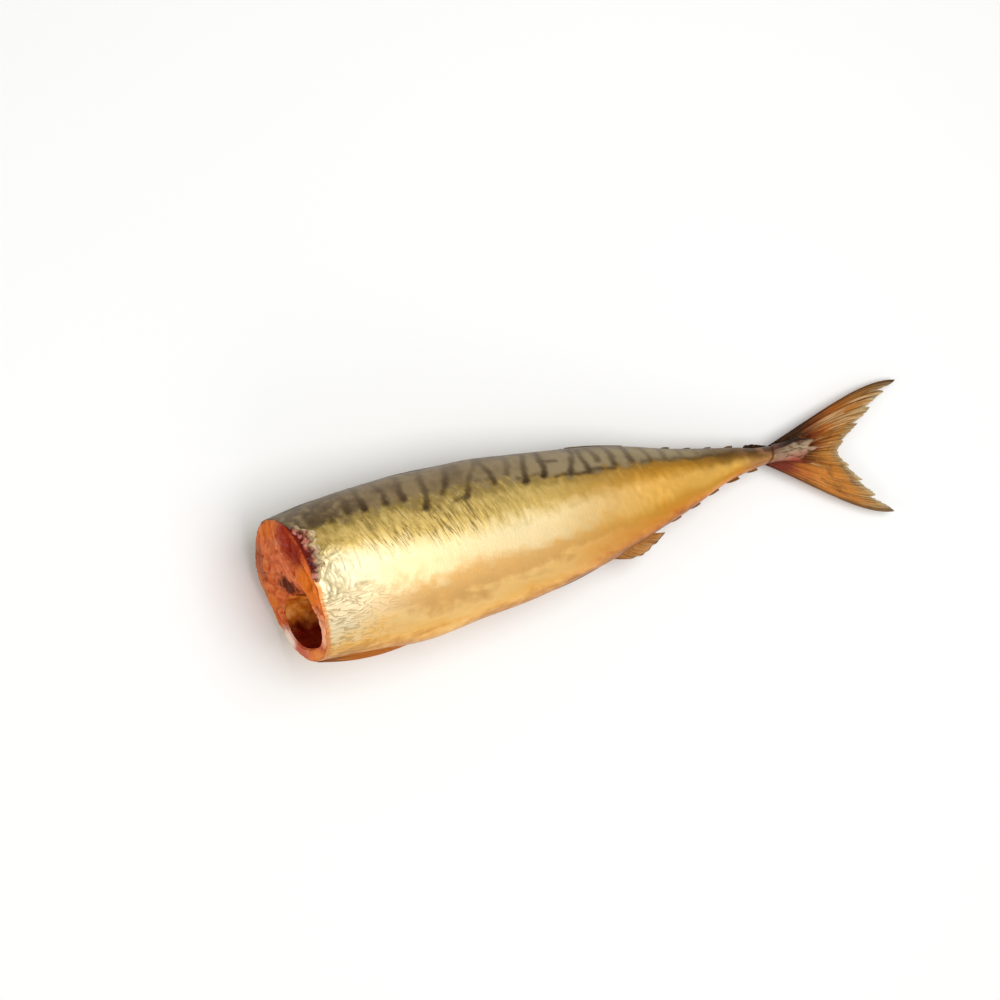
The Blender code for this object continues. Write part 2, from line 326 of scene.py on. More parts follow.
def makeCamera():
    a, e, r = (math.radians(cameraSetup[k]) for k in ("azimuth", "elevation", "roll"))
    back = Vector((math.sin(a) * math.cos(e), -math.cos(a) * math.cos(e), math.sin(e)))
    level = Vector((math.cos(a), math.sin(a), 0.0))
    above = back.cross(level)
    right = level * math.cos(r) + above * math.sin(r)
    up = above * math.cos(r) - level * math.sin(r)
    camera = bpy.data.objects.new("camera", bpy.data.cameras.new("camera"))
    camera.data.lens = cameraSetup["lens"]
    camera.data.sensor_width = 36.0
    camera.data.clip_start = 0.05
    camera.data.clip_end = 20.0
    turned = Matrix((right, up, back)).transposed().to_4x4()
    place = (Vector(cameraSetup["target"]) + back * cameraSetup["distance"]) * mm
    camera.matrix_world = Matrix.Translation(place) @ turned
    bpy.context.scene.collection.objects.link(camera)
    bpy.context.scene.camera = camera


lights = {  # place, aim and size in metres, power in watts
    "overhead softbox": dict(place=(0.14, 0.0, 0.85), aim=(-0.02, 0.0, 0.02), size=(1.0, 0.6), power=6.0),
    "belly side fill": dict(place=(-0.1, -0.9, 0.45), aim=(0.0, 0.0, 0.02), size=(0.8, 0.5), power=1.0),
    "head side fill": dict(place=(-0.85, 0.0, 0.38), aim=(-0.12, 0.0, 0.02), size=(0.4, 0.3), power=1.8),
}


def makeLights():
    for name, setup in lights.items():
        lamp = bpy.data.lights.new(name, "AREA")
        lamp.shape = "RECTANGLE"
        lamp.size, lamp.size_y = setup["size"]
        lamp.energy = setup["power"]
        thing = bpy.data.objects.new(name, lamp)
        thing.location = setup["place"]
        aim = Vector(setup["aim"]) - Vector(setup["place"])
        thing.rotation_euler = aim.to_track_quat("-Z", "Y").to_euler()
        bpy.context.scene.collection.objects.link(thing)
    world = bpy.data.worlds.new("studio")
    world.use_nodes = True
    world.node_tree.nodes["Background"].inputs["Color"].default_value = (1.0, 1.0, 1.0, 1.0)
    world.node_tree.nodes["Background"].inputs["Strength"].default_value = 0.38
    bpy.context.scene.world = world
    bpy.context.scene.view_settings.view_transform = "Standard"


def makeTable():
    bm = bmesh.new()
    bmesh.ops.create_grid(bm, x_segments=1, y_segments=1, size=3.0)
    table = finishMesh("table", bm)
    board = newMaterial("matt_white_board", {"Base Color": "#f6f6f4", "Roughness": 0.9})[0]
    table.data.materials.append(board)


makeCamera()
makeLights()
makeTable()
print("camera, light and table")


# Skin

skinMesh = {
    "rings": 340,
    "around": 280,
    "upperShare": 0.6,  # share of the points round the body that lie on the upper, left side
    "crowding": 1.5,  # above 1 the rings lie closer together near the head cut
    "lip": 0.8,  # how far the skin turns in over the cut flesh
    "hem": 4,  # rings used for the turned-in edge
}

wrinkles = {  # heights in millimetres
    "foldHeight": 0.8,  # crumpled film at the upper part of the cut
    "foldSize": 5.0,
    "foldReach": 15.0,  # how far back from the cut
    "lineHeight": 0.16,  # soft wrinkles along the body, lower down at the cut
    "lineSpacing": 2.8,
    "lineReach": 22.0,
    "creaseHeight": 0.12,
    "creaseSpacing": 3.0,
    "creaseLength": 15.0,
    "dentHeight": 0.5,
    "dentSize": 24.0,
    "stippleHeight": 0.17,
    "stippleSize": 2.2,
    "dimpleShare": 0.51,
    "dimpleDepth": 0.35,
    "girdleHeight": 0.45,  # crease round the tail root
    "girdleAt": 203.2,
    "girdleSlant": 0.55,
}

zoneEdges = (  # s, lower edge of the grey back and of the olive zone, as shares of the way from back to belly
    (0.0, 0.205, 0.30),
    (16.0, 0.205, 0.33),
    (32.0, 0.208, 0.36),
    (60.0, 0.226, 0.405),
    (90.0, 0.238, 0.418),
    (115.0, 0.277, 0.40),
    (150.0, 0.265, 0.40),
    (188.0, 0.255, 0.39),
)

barPattern = {
    # s of the lower end, share of the way down, lean towards the tail per millimetre up, darkness
    "bars": (
        (7.5, 0.21, 0.0, 0.8), (14.8, 0.215, 0.0, 0.85), (21.5, 0.205, 0.1, 0.8), (28.0, 0.215, 0.1, 1.0),
        (36.2, 0.21, 0.1, 0.9), (43.4, 0.22, 0.15, 0.9), (49.8, 0.285, 0.35, 1.0), (59.0, 0.235, 0.55, 0.95),
        (66.5, 0.285, 0.75, 0.85), (80.0, 0.25, 0.0, 0.9), (86.4, 0.213, 0.4, 0.6), (92.4, 0.275, 0.4, 1.0),
        (100.4, 0.26, 0.35, 1.0), (112.0, 0.272, 0.5, 0.9), (120.0, 0.28, 0.05, 0.9), (126.0, 0.22, 0.0, 0.7),
        (132.0, 0.267, 0.0, 0.8), (140.0, 0.25, 0.0, 0.75), (148.2, 0.267, 0.0, 0.7), (155.0, 0.26, 0.0, 0.6),
        (163.0, 0.26, 0.1, 0.45), (170.5, 0.26, 0.1, 0.35), (178.0, 0.26, 0.1, 0.25),
    ),
    "halfWidth": 1.1,
    "endHalfWidth": 1.4,
    "wobble": 0.6,
    "scallop": 0.016,  # the grey reaches this much further down between two bars
    # lines that run along the body between bars: from s, to s, share of the way down, half width, darkness
    "links": (
        (102.0, 108.5, 0.168, 0.6, 0.9), (105.0, 131.5, 0.277, 0.42, 0.9), (90.0, 101.0, 0.245, 0.3, 0.6),
        (144.0, 160.0, 0.262, 0.35, 0.6), (158.0, 187.0, 0.262, 0.7, 0.55), (64.0, 82.0, 0.222, 0.3, 0.4),
        (8.0, 22.0, 0.205, 0.3, 0.5), (60.5, 66.5, 0.283, 0.5, 0.8),
    ),
    "otherSideShift": 3.7,
}

tornRim = {
    "middle": math.radians(56),  # measured from the back line down the left side
    "spread": math.radians(24),
    "depth": 2.4,
    "raggedness": 0.5,
    "behindCut": 0.7,  # where the skin begins elsewhere
}


def barShade(s, around, half):
    # distance in millimetres to the edge of the nearest bar or line, negative inside one, and its darkness
    down = abs(around)
    if around < 0:
        s += barPattern["otherSideShift"]
    if down > 0.36 * half:
        return 6.0, 0.0
    nearest, darkness = 6.0, 0.0
    for k, (end, share, lean, dark) in enumerate(barPattern["bars"]):
        if abs(end - s) > 18:
            continue
        reach = share * half
        up = max(reach - down, 0.0)
        line = end + lean * up + barPattern["wobble"] * math.sin(down / 3.1 + 2.3 * k) * min(up / 4.0, 1.0)
        t = min(down / reach, 1.0)
        width = barPattern["halfWidth"] + (barPattern["endHalfWidth"] - barPattern["halfWidth"]) * t**4
        distance = math.hypot(s - line, max(down - reach + 0.6, 0.0)) - width
        if distance < nearest:
            upper = 0.35 + 0.2 * smooth(60.0, 110.0, end)
            nearest, darkness = distance, dark * (upper + (1 - upper) * t**2.5)
    for start, end, share, width, dark in barPattern["links"]:
        beyond = max(start - s, s - end, 0.0)
        swing = 0.5 * math.sin(s / 2.3 + start)
        distance = math.hypot(beyond, down - share * half + swing) - width
        if distance < nearest:
            nearest, darkness = distance, dark
    return nearest, darkness


def skinZone(s, share):  # 0 to 0.25 is the grey back, 0.25 to 0.4 the olive zone, then the flank down to 1
    grey, olive = through(zoneEdges, s)
    if share < grey:
        return 0.25 * share / grey
    if share < olive:
        return 0.25 + 0.15 * (share - grey) / (olive - grey)
    return 0.4 + 0.6 * (share - olive) / (1 - olive)


def crumpled(s, share):  # how strongly the film is crumpled, and how strongly finely wrinkled, from 0 to 1
    folds = bell(s, 0.0, wrinkles["foldReach"]) * hump(0.24, 0.60, share)
    lines = bell(s, 0.0, wrinkles["lineReach"]) * hump(0.46, 0.93, share)
    return folds, lines


def skinRelief(s, down, share, left):
    # down: millimetres from the back line along the skin
    folds, lines = crumpled(s, share)
    height = wrinkles["dentHeight"] * noise.noise(Vector((s, down, 40.0 * left)) / wrinkles["dentSize"])
    crevice = 0.0
    if folds > 0.02:
        size = wrinkles["foldSize"]
        bend = 1.1 * ripple(s / 6.0, down / 6.0, 9.0)
        big = abs(ripple(s / size + bend, down / (1.2 * size) - bend, 3.0 + left))
        small = abs(ripple(s / 2.1, down / 2.4 + bend, 7.0 + left))
        crevice = folds * max(max(0.0, 1 - 4 * big), 0.85 * max(0.0, 1 - 4 * small))
        clear = smooth(1.0, 8.0, s)  # lower where the torn film lies on it
        height += wrinkles["foldHeight"] * folds * clear * (0.3 + 0.8 * big + 0.3 * small - 0.6 * crevice)
    if lines > 0.02:
        fan = 0.3 * (share - 0.68) * s + 1.0 * ripple(s / 5.0, down / 5.0, 1.0)
        ridge = ripple(s / 7.0, down / wrinkles["lineSpacing"] + fan, 11.0)
        height += wrinkles["lineHeight"] * lines * ridge
    across = (s - 0.12 * down) / wrinkles["creaseSpacing"]
    crease = abs(ripple(across, down / wrinkles["creaseLength"], 5.0))
    inOlive = hump(0.2, 0.5, share, 0.3) * (1 - smooth(80, 112, s))
    height -= wrinkles["creaseHeight"] * inOlive * max(0.0, 1 - 5 * crease)
    rear = smooth(110, 150, s) * (1 - smooth(194, 202, s)) * hump(0.24, 0.95, share)
    size = wrinkles["stippleSize"]
    height += wrinkles["stippleHeight"] * rear * ripple(s / size, down / (1.4 * size), 2.0 * left)
    # a dimple in the film
    at = hump(12.0, 26.0, s, 0.4) * (1 if left else 0)
    dimple = at * bell(share, wrinkles["dimpleShare"] + 0.0012 * (s - 19.0), 0.008)
    height -= wrinkles["dimpleDepth"] * dimple
    return height, max(crevice, 0.55 * dimple), lines


tufts = {"middle": 222.0, "change": 9.0, "width": 2.3, "dive": 2.2}  # where the skin runs out on the tail


def tuftEnd(d):
    fine = 0.7 * ripple(d / 0.6, 2.0, 0.0)
    return tufts["middle"] + tufts["change"] * ripple(d / tufts["width"], 7.7, 0.0) + fine


def rimStart(angle):  # where the skin begins, in s; torn back on the upper left rim
    d = skinPoint(0.0, angle)[0]
    torn = bell(angle, tornRim["middle"], tornRim["spread"]) * tornRim["depth"]
    torn *= 1 + 0.8 * ripple(angle * 16, 0.0, 4.0)
    ragged = tornRim["raggedness"] * ripple(angle * 9, 2.0, 0.0)
    return -cutShape["slant"] * d + tornRim["behindCut"] + torn + ragged


skinKeys = ("zone", "along", "barDistance", "barDarkness", "folded", "wrinkled", "fromRim", "height", "tuft")


def makeSkin():
    rings, around, hem = skinMesh["rings"], skinMesh["around"], skinMesh["hem"]
    lower = round(around * (1 - skinMesh["upperShare"]))
    angles = [-math.pi * (1 - j / lower) for j in range(lower)]
    angles += [math.pi * j / (around - lower) for j in range(around - lower + 1)]
    starts = [rimStart(angle) for angle in angles]
    ends = [tuftEnd(skinPoint(tufts["middle"], angle)[0]) for angle in angles]
    table = []
    for i in range(rings + 1):
        t = max(0.0, (i - hem) / (rings - hem)) ** skinMesh["crowding"]
        ring, length, before = [], 0.0, None
        for angle, start, end in zip(angles, starts, ends):
            s = start + (end - start) * t
            d, l, out = skinPoint(s, angle)
            if before:
                length += math.hypot(d - before[0], l - before[1])
            before = (d, l)
            ring.append([s, d, l, out, length])
        middle = ring[lower][4]
        for row in ring:
            row[4] -= middle
        table.append(ring)

    def pointAt(i, j):
        s, d, l, out, down = table[i][j]
        half = max(abs(table[i][0][4]), abs(table[i][-1][4]))
        share = abs(down) / half
        height, crevice, lines = skinRelief(s, abs(down), share, 1 if down > 0 else 0)
        height -= wrinkles["girdleHeight"] * bell(s, wrinkles["girdleAt"] + wrinkles["girdleSlant"] * d, 0.6)
        fromRim = s - starts[j]
        tuft = ends[j] - s
        l *= smooth(0.0, tufts["dive"], tuft) ** 0.5
        if i < hem:  # the edge turns in and back under itself
            turn = 1 - i / hem
            height -= skinMesh["lip"] * turn
            s += 0.5 * turn * turn - 0.25 * math.sin(math.pi * turn)
        distance, darkness = barShade(s, down, half)
        between = barPattern["scallop"] * smooth(0.0, 2.5, distance) * hump(0.12, 0.36, share, 0.3)
        values = (skinZone(s, share - between), s, distance, darkness, crevice, lines, fromRim, d, tuft)
        return onTable(s, d + out[0] * height, l + out[1] * height), (s * mm, down * mm), values

    skin = gridPiece("smoked_skin", rings, around, pointAt, skinKeys, weld=True)
    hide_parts("fish")
    return skin


def skinMaterial():
    # Smoked fish skin: a thin clear film over silvery tissue, tanned gold by the smoke. It shines like satin
    # foil: grey brown with dark bars on the back, olive below them, pale gold on the flank, then orange.
    material, tree = newMaterial("smoked_fish_skin", {
        "Roughness": 0.36, "IOR": 1.4, "Specular IOR Level": 0.3,
    })
    uv = addNode(tree, "UVMap", uv_map="UVMap")
    read = {key: addNode(tree, "Attribute", attribute_name=key).outputs["Fac"] for key in skinKeys}

    # patterns: size in millimetres turned into noise scale per metre
    cloudy = addNode(tree, "TexNoise", uv, Scale=1 / 0.016, Detail=4.0, Roughness=0.6)
    mottle = addNode(tree, "TexNoise", uv, Scale=1 / 0.0042, Detail=3.0, Roughness=0.5)
    patches = addNode(tree, "TexNoise", uv, Scale=1 / 0.009, Detail=3.0)
    slanted = addNode(tree, "Mapping", uv, Rotation=(0.0, 0.0, 0.4))  # the way the creases lean
    fine = addNode(tree, "TexNoise", uv, Scale=1 / 0.0016, Detail=3.0, Roughness=0.6)
    streaky = stretchedNoise(tree, uv, (0.034, 0.010), Detail=3.0, Distortion=0.8)
    onFlank = addNode(tree, "MapRange", read["zone"], 0.42, 0.6, 0.0, 0.28, interpolation_type="SMOOTHSTEP")
    streaky = addNode(tree, "Math", streaky, 0.5, operation="SUBTRACT")
    wide = addNode(tree, "Math", streaky, onFlank, read["zone"], operation="MULTIPLY_ADD")
    near = addNode(tree, "Math", mottle, 0.11, wide, operation="MULTIPLY_ADD")
    near = addNode(tree, "Math", cloudy, 0.05, near, operation="MULTIPLY_ADD")
    zone = addNode(tree, "Math", near, 0.08, operation="SUBTRACT")

    # colour by zone from the back line to the belly: the dark first stops are painted shade along the back's
    # outline, the last ones painted shade along the belly's edge, and the pale band just below the olive zone
    # is partly a painted highlight of the overhead light
    front = addNode(tree, "ValToRGB", zone, stops=(
        (0.0, "#2c200c"), (0.035, "#564426"), (0.1, "#7c6848"), (0.225, "#85704a"), (0.27, "#a68a48"),
        (0.31, "#c6a85e"), (0.375, "#cdae60"), (0.41, "#e2c888"), (0.46, "#eed9a6"), (0.53, "#eed49e"),
        (0.61, "#ddae68"), (0.66, "#e2ae66"), (0.72, "#f8ca7c"), (0.81, "#f4ba60"), (0.89, "#c8842c"),
        (1.0, "#a4661f"),
    ))
    rear = addNode(tree, "ValToRGB", zone, stops=(
        (0.0, "#2e210c"), (0.05, "#5e4a2a"), (0.13, "#836c48"), (0.225, "#7c6434"), (0.27, "#9c7024"),
        (0.34, "#b67e20"), (0.4, "#d59c38"), (0.46, "#efb858"), (0.56, "#eab351"), (0.66, "#d99a35"),
        (0.76, "#e0922f"), (0.83, "#cc7822"), (0.89, "#9c5c1c"), (1.0, "#7c4a18"),
    ))
    ground = paint(tree, front, rear, (read["along"], 82.0, 152.0, 1.0))

    # brown patches in the grey of the back, and darker blotches near the head
    tint = addNode(tree, "ValToRGB", patches, stops=(
        (0.34, "#66523a"), (0.46, "#857050"), (0.56, "#9a8460"), (0.68, "#7a6646"),
    ))
    inGrey = addNode(tree, "MapRange", zone, 0.28, 0.225, 0.0, 0.55, interpolation_type="SMOOTHSTEP")
    ground = paint(tree, ground, tint, inGrey)
    nearHead = addNode(tree, "MapRange", read["along"], 44.0, 8.0, interpolation_type="SMOOTHSTEP")
    nearHead = addNode(tree, "Math", nearHead, inGrey, operation="MULTIPLY")
    blotchy = addNode(tree, "MapRange", mottle, 0.6, 0.42, 0.1, 1.5, interpolation_type="SMOOTHSTEP")
    nearHead = addNode(tree, "Math", nearHead, blotchy, operation="MULTIPLY", use_clamp=True)
    ground = paint(tree, ground, "#5a4830", nearHead)

    # paler grey between the bars from the middle of the back on
    between = addNode(tree, "ValToRGB", zone, stops=((0.06, 0.0), (0.13, 1.0), (0.22, 1.0), (0.26, 0.0)))
    ground = paint(tree, ground, "#a49472", between,
                   addNode(tree, "MapRange", read["along"], 70.0, 110.0, 0.0, 0.55))

    # olive and pale flecks below the bars, and a brown back towards the tail
    oliveOnly = addNode(tree, "ValToRGB", zone, stops=((0.22, 0.0), (0.27, 1.0), (0.34, 0.8), (0.42, 0.0)))
    oliveOnly = addNode(tree, "Math", oliveOnly,
                        addNode(tree, "MapRange", read["along"], 62.0, 105.0, 1.0, 0.35),
                        operation="MULTIPLY")
    flecks = stretchedNoise(tree, slanted, (0.0024, 0.006), Detail=4.0, Roughness=0.65)
    for low, high, strength, shade in ((0.54, 0.36, 0.65, "#7e6a32"), (0.52, 0.68, 0.45, "#e4cf86")):
        ground = paint(tree, ground, shade, (flecks, low, high, strength), oliveOnly)
    ground = paint(tree, ground, "#64461a", (read["along"], 158.0, 190.0, 0.85), (zone, 0.54, 0.34, 1.0))

    # the flank near the cut is painted a paler cream: a painted highlight, the broad sheen there
    flank = addNode(tree, "ValToRGB", zone, stops=((0.4, 0.0), (0.48, 1.0), (0.66, 1.0), (0.82, 0.0)))
    ground = paint(tree, ground, "#ebdcb6", (read["along"], 46.0, 6.0, 0.85), flank)

    # tail root: brown above, pinkish below, beyond the crease beige and rose
    rootShade = addNode(tree, "ValToRGB", zone, stops=(
        (0.1, "#4a371b"), (0.3, "#5e401e"), (0.48, "#7c5428"), (0.63, "#ae7a4a"), (0.9, "#a9714c"),
    ))
    rootShade = paint(tree, rootShade, "#b57c5c", (mottle, 0.5, 0.62, 0.5))
    ground = paint(tree, ground, rootShade, (read["along"], 185.0, 198.0, 0.9))
    silver = addNode(tree, "MapRange", read["along"], 206.0, 215.0, 0.0, 0.14)
    silver = addNode(tree, "Math", silver, zone, operation="ADD")
    bareShade = addNode(tree, "ValToRGB", silver, stops=(
        (0.2, "#140806"), (0.3, "#2e160e"), (0.36, "#9c8468"), (0.56, "#c4ac8a"), (0.76, "#c49880"),
        (0.9, "#b05040"), (1.0, "#8c3626"),
    ))
    scaly = stretchedNoise(tree, uv, (0.004, 0.0012), Detail=3.0)
    scaly = addNode(tree, "MapRange", scaly, 0.52, 0.36, 0.0, 0.8)
    bareShade = paint(tree, bareShade, "#4c2c1c", scaly)
    bareShade = paint(tree, bareShade, "#8e4a20", (read["tuft"], 2.0, 0.0, 0.8))
    bareShade = paint(tree, bareShade, "#7c5040", (read["along"], 213.0, 204.0, 0.6))
    ground = paint(tree, ground, bareShade, (read["along"], 202.5, 205.5, 0.92))

    # dark bars with soft, uneven edges
    ragged = addNode(tree, "Math", mottle, 2.4, read["barDistance"], operation="MULTIPLY_ADD")
    ragged = addNode(tree, "Math", fine, 1.0, ragged, operation="MULTIPLY_ADD")
    painted = paint(tree, ground, "#3c2912", (ragged, 3.0, 0.7, 1.0), read["barDarkness"])

    # fine creases round the body in the olive zone, painted darker as shade in them: noise drawn out along
    # the crease, kept at middle values
    crease = stretchedNoise(tree, slanted, (0.0024, 0.022), Detail=2.0, Distortion=0.2)
    crease = linesIn(tree, crease, 0.05)
    inOlive = addNode(tree, "ValToRGB", zone, stops=(
        (0.25, 0.0), (0.3, 0.8), (0.4, 0.8), (0.45, 0.15), (0.48, 0.0),
    ))
    creasePart = addNode(tree, "ValToRGB", addNode(tree, "Math", read["along"], 150.0, operation="DIVIDE"),
                         stops=((0.08, 0.0), (0.16, 0.8), (0.44, 1.0), (0.58, 0.0)))
    gaps = addNode(tree, "MapRange", cloudy, 0.4, 0.5)
    creasePart = addNode(tree, "Math", creasePart, gaps, operation="MULTIPLY")
    crease = addNode(tree, "Math", crease, inOlive, operation="MULTIPLY")
    crease = addNode(tree, "Math", crease, creasePart, operation="MULTIPLY")
    painted = paint(tree, painted, "#665020", crease)

    # crumpled film at the upper part of the cut with painted shade in its crevices and its dimple, and fine
    # wrinkles below it with painted shade along them
    creviceShadeMask = addNode(tree, "MapRange", read["folded"], 0.1, 0.9, 0.0, 0.8)
    painted = paint(tree, painted, "#77642e", creviceShadeMask)
    wrinkle = addNode(tree, "Mapping", uv, Rotation=(0.0, 0.0, -0.15))
    wrinkle = stretchedNoise(tree, wrinkle, (0.0065, 0.0017), Detail=2.0, Distortion=0.7)
    wrinkle = linesIn(tree, wrinkle, 0.075)
    worn = addNode(tree, "MapRange", mottle, 0.3, 0.46)
    wrinkle = addNode(tree, "Math", wrinkle, worn, operation="MULTIPLY")
    wrinkle = addNode(tree, "Math", wrinkle, read["wrinkled"], operation="MULTIPLY")
    # painted shade along the fine wrinkles
    painted = paint(tree, painted, "#95804c", wrinkle, 0.75)

    # raw orange edge of the skin along the lower rim, and painted shade in the crease round the tail root
    painted = paint(tree, painted, "#dd8740", (read["fromRim"], 1.9, 0.7, 0.85),
                    (read["zone"], 0.42, 0.56, 1.0))
    girdle = addNode(tree, "Math", read["height"], -wrinkles["girdleSlant"], read["along"],
                     operation="MULTIPLY_ADD")
    girdle = addNode(tree, "Math", girdle, wrinkles["girdleAt"], operation="SUBTRACT")
    girdle = addNode(tree, "Math", girdle, operation="ABSOLUTE")
    girdle = addNode(tree, "MapRange", girdle, 0.2, 0.7, 0.75, 0.0)
    painted = paint(tree, painted, "#4a2414", girdle)

    # the back is dull where its pigment covers the silver
    shine = addNode(tree, "MapRange", zone, 0.2, 0.46, 0.1, 0.42, interpolation_type="SMOOTHSTEP")
    rough = addNode(tree, "MapRange", mottle, 0.3, 0.7, 0.32, 0.48)

    # brushed look across the flank, the film's crumples and every crease
    brush = stretchedNoise(tree, uv, (0.0009, 0.008), Detail=3.0)
    film = addNode(tree, "TexNoise", uv, Scale=1 / 0.0011, Detail=3.0, Distortion=1.2)
    height = addNode(tree, "Math", brush, 0.5, film, operation="MULTIPLY_ADD")
    height = addNode(tree, "Math", crease, -2.5, height, operation="MULTIPLY_ADD")
    height = addNode(tree, "Math", wrinkle, -4.0, height, operation="MULTIPLY_ADD")
    bump = addNode(tree, "Bump", Height=height, Strength=0.3, Distance=0.0002)
    return feed(material, {"Base Color": painted, "Metallic": shine, "Roughness": rough, "Normal": bump})


skin = addPiece(makeSkin(), skinMaterial())
print("skin with", len(skin.data.polygons), "faces")


# Cut flesh

fleshMesh = {
    "around": 320,
    "rings": 64,
    "skirtRings": 8,
    "skirtLength": 7.0,  # the flesh goes on this far under the skin
    "underSkin": 0.45,
    "ringSpacing": 2.6,  # between the rings of muscle round the backbone
    "blockSize": 7.0,
    "cleftDepth": 1.0,
    "funnel": 2.2,  # the flesh falls back towards the upper edge of the belly opening
    "farBulge": 1.4,  # and swells out at the far side
    "farBulgeHeight": 8.0,
    "farBulgeSpread": 10.0,
    "rimRadius": 24.0,  # of the body at the cut
}

fleshKeys = ("height", "sideways", "skirt", "cleft")


def makeFlesh():
    around, rings, skirt = fleshMesh["around"], fleshMesh["rings"], fleshMesh["skirtRings"]

    def pointAt(i, j):
        angle = -math.pi + 2 * math.pi * j / around
        mouth, rim = cavityPoint(0.0, angle), skinPoint(0.0, angle)
        shrink = 1 - fleshMesh["underSkin"] / fleshMesh["rimRadius"]
        t = min(i / rings, 1.0)
        d = mouth[0] + (rim[0] * shrink - mouth[0]) * t
        l = mouth[1] + (rim[1] * shrink - mouth[1]) * t
        thick = math.hypot(rim[0] - mouth[0], rim[1] - mouth[1])
        if i > rings:
            s = -cutShape["slant"] * rim[0] + 0.4 + fleshMesh["skirtLength"] * ((i - rings) / skirt)
            d, l, out = skinPoint(s, angle)
            rough = 0.25 * ripple(s / 1.6, d / 2.2, l / 2.2)
            under = fleshMesh["underSkin"] - rough
            return onTable(s, d - out[0] * under, l - out[1] * under), (d * mm, l * mm), (d, l, 1.0, 0.0)
        edge = math.sin(math.pi * min(1.0, 0.12 + 0.8 * t))
        fromBone = boneDistance(d, l)
        coarse = noise.fractal(Vector((d / 6.0, l / 6.0, 1.0)), 0.9, 2.1, 4)
        layers = math.sin(2 * math.pi * fromBone / fleshMesh["ringSpacing"] + 2.5 * coarse)
        size = fleshMesh["blockSize"]
        split = abs(ripple(d / size + 0.4 * coarse, l / (0.8 * size), 8.0))
        cleft = max(0.0, 1 - 6 * split) ** 1.5
        wide = smooth(3.0, 9.0, thick)
        forward = cutRelief(d, l) * edge
        forward += wide * edge * (0.5 * coarse + 0.16 * layers * smooth(4, 8, fromBone))
        forward -= wide * edge * fleshMesh["cleftDepth"] * cleft
        torn = bell(fromBone, 0.0, 7.0)  # fibres pulled apart round the backbone
        forward += wide * torn * 0.9 * ripple(d / 5.0, l / 1.3, 4.0)
        bulge = bell(d, fleshMesh["farBulgeHeight"], fleshMesh["farBulgeSpread"]) * smooth(-7.0, -16.0, l)
        forward += fleshMesh["farBulge"] * bulge * (1 - 0.25 * smooth(0.9, 1.0, t))
        rounding = 0.9 * (1 - smooth(0.0, 0.16, t)) + 0.5 * smooth(0.9, 1.0, t)
        rounding += fleshMesh["funnel"] * (1 - smooth(0.0, 0.3, t)) * smooth(0.3, 0.95, math.cos(angle))
        s = -cutShape["slant"] * d - forward + rounding
        return onTable(s, d, l), (d * mm, l * mm), (d, l, 0.0, cleft)

    return gridPiece("cut_flesh", rings + skirt, around, pointAt, fleshKeys, weld=True)


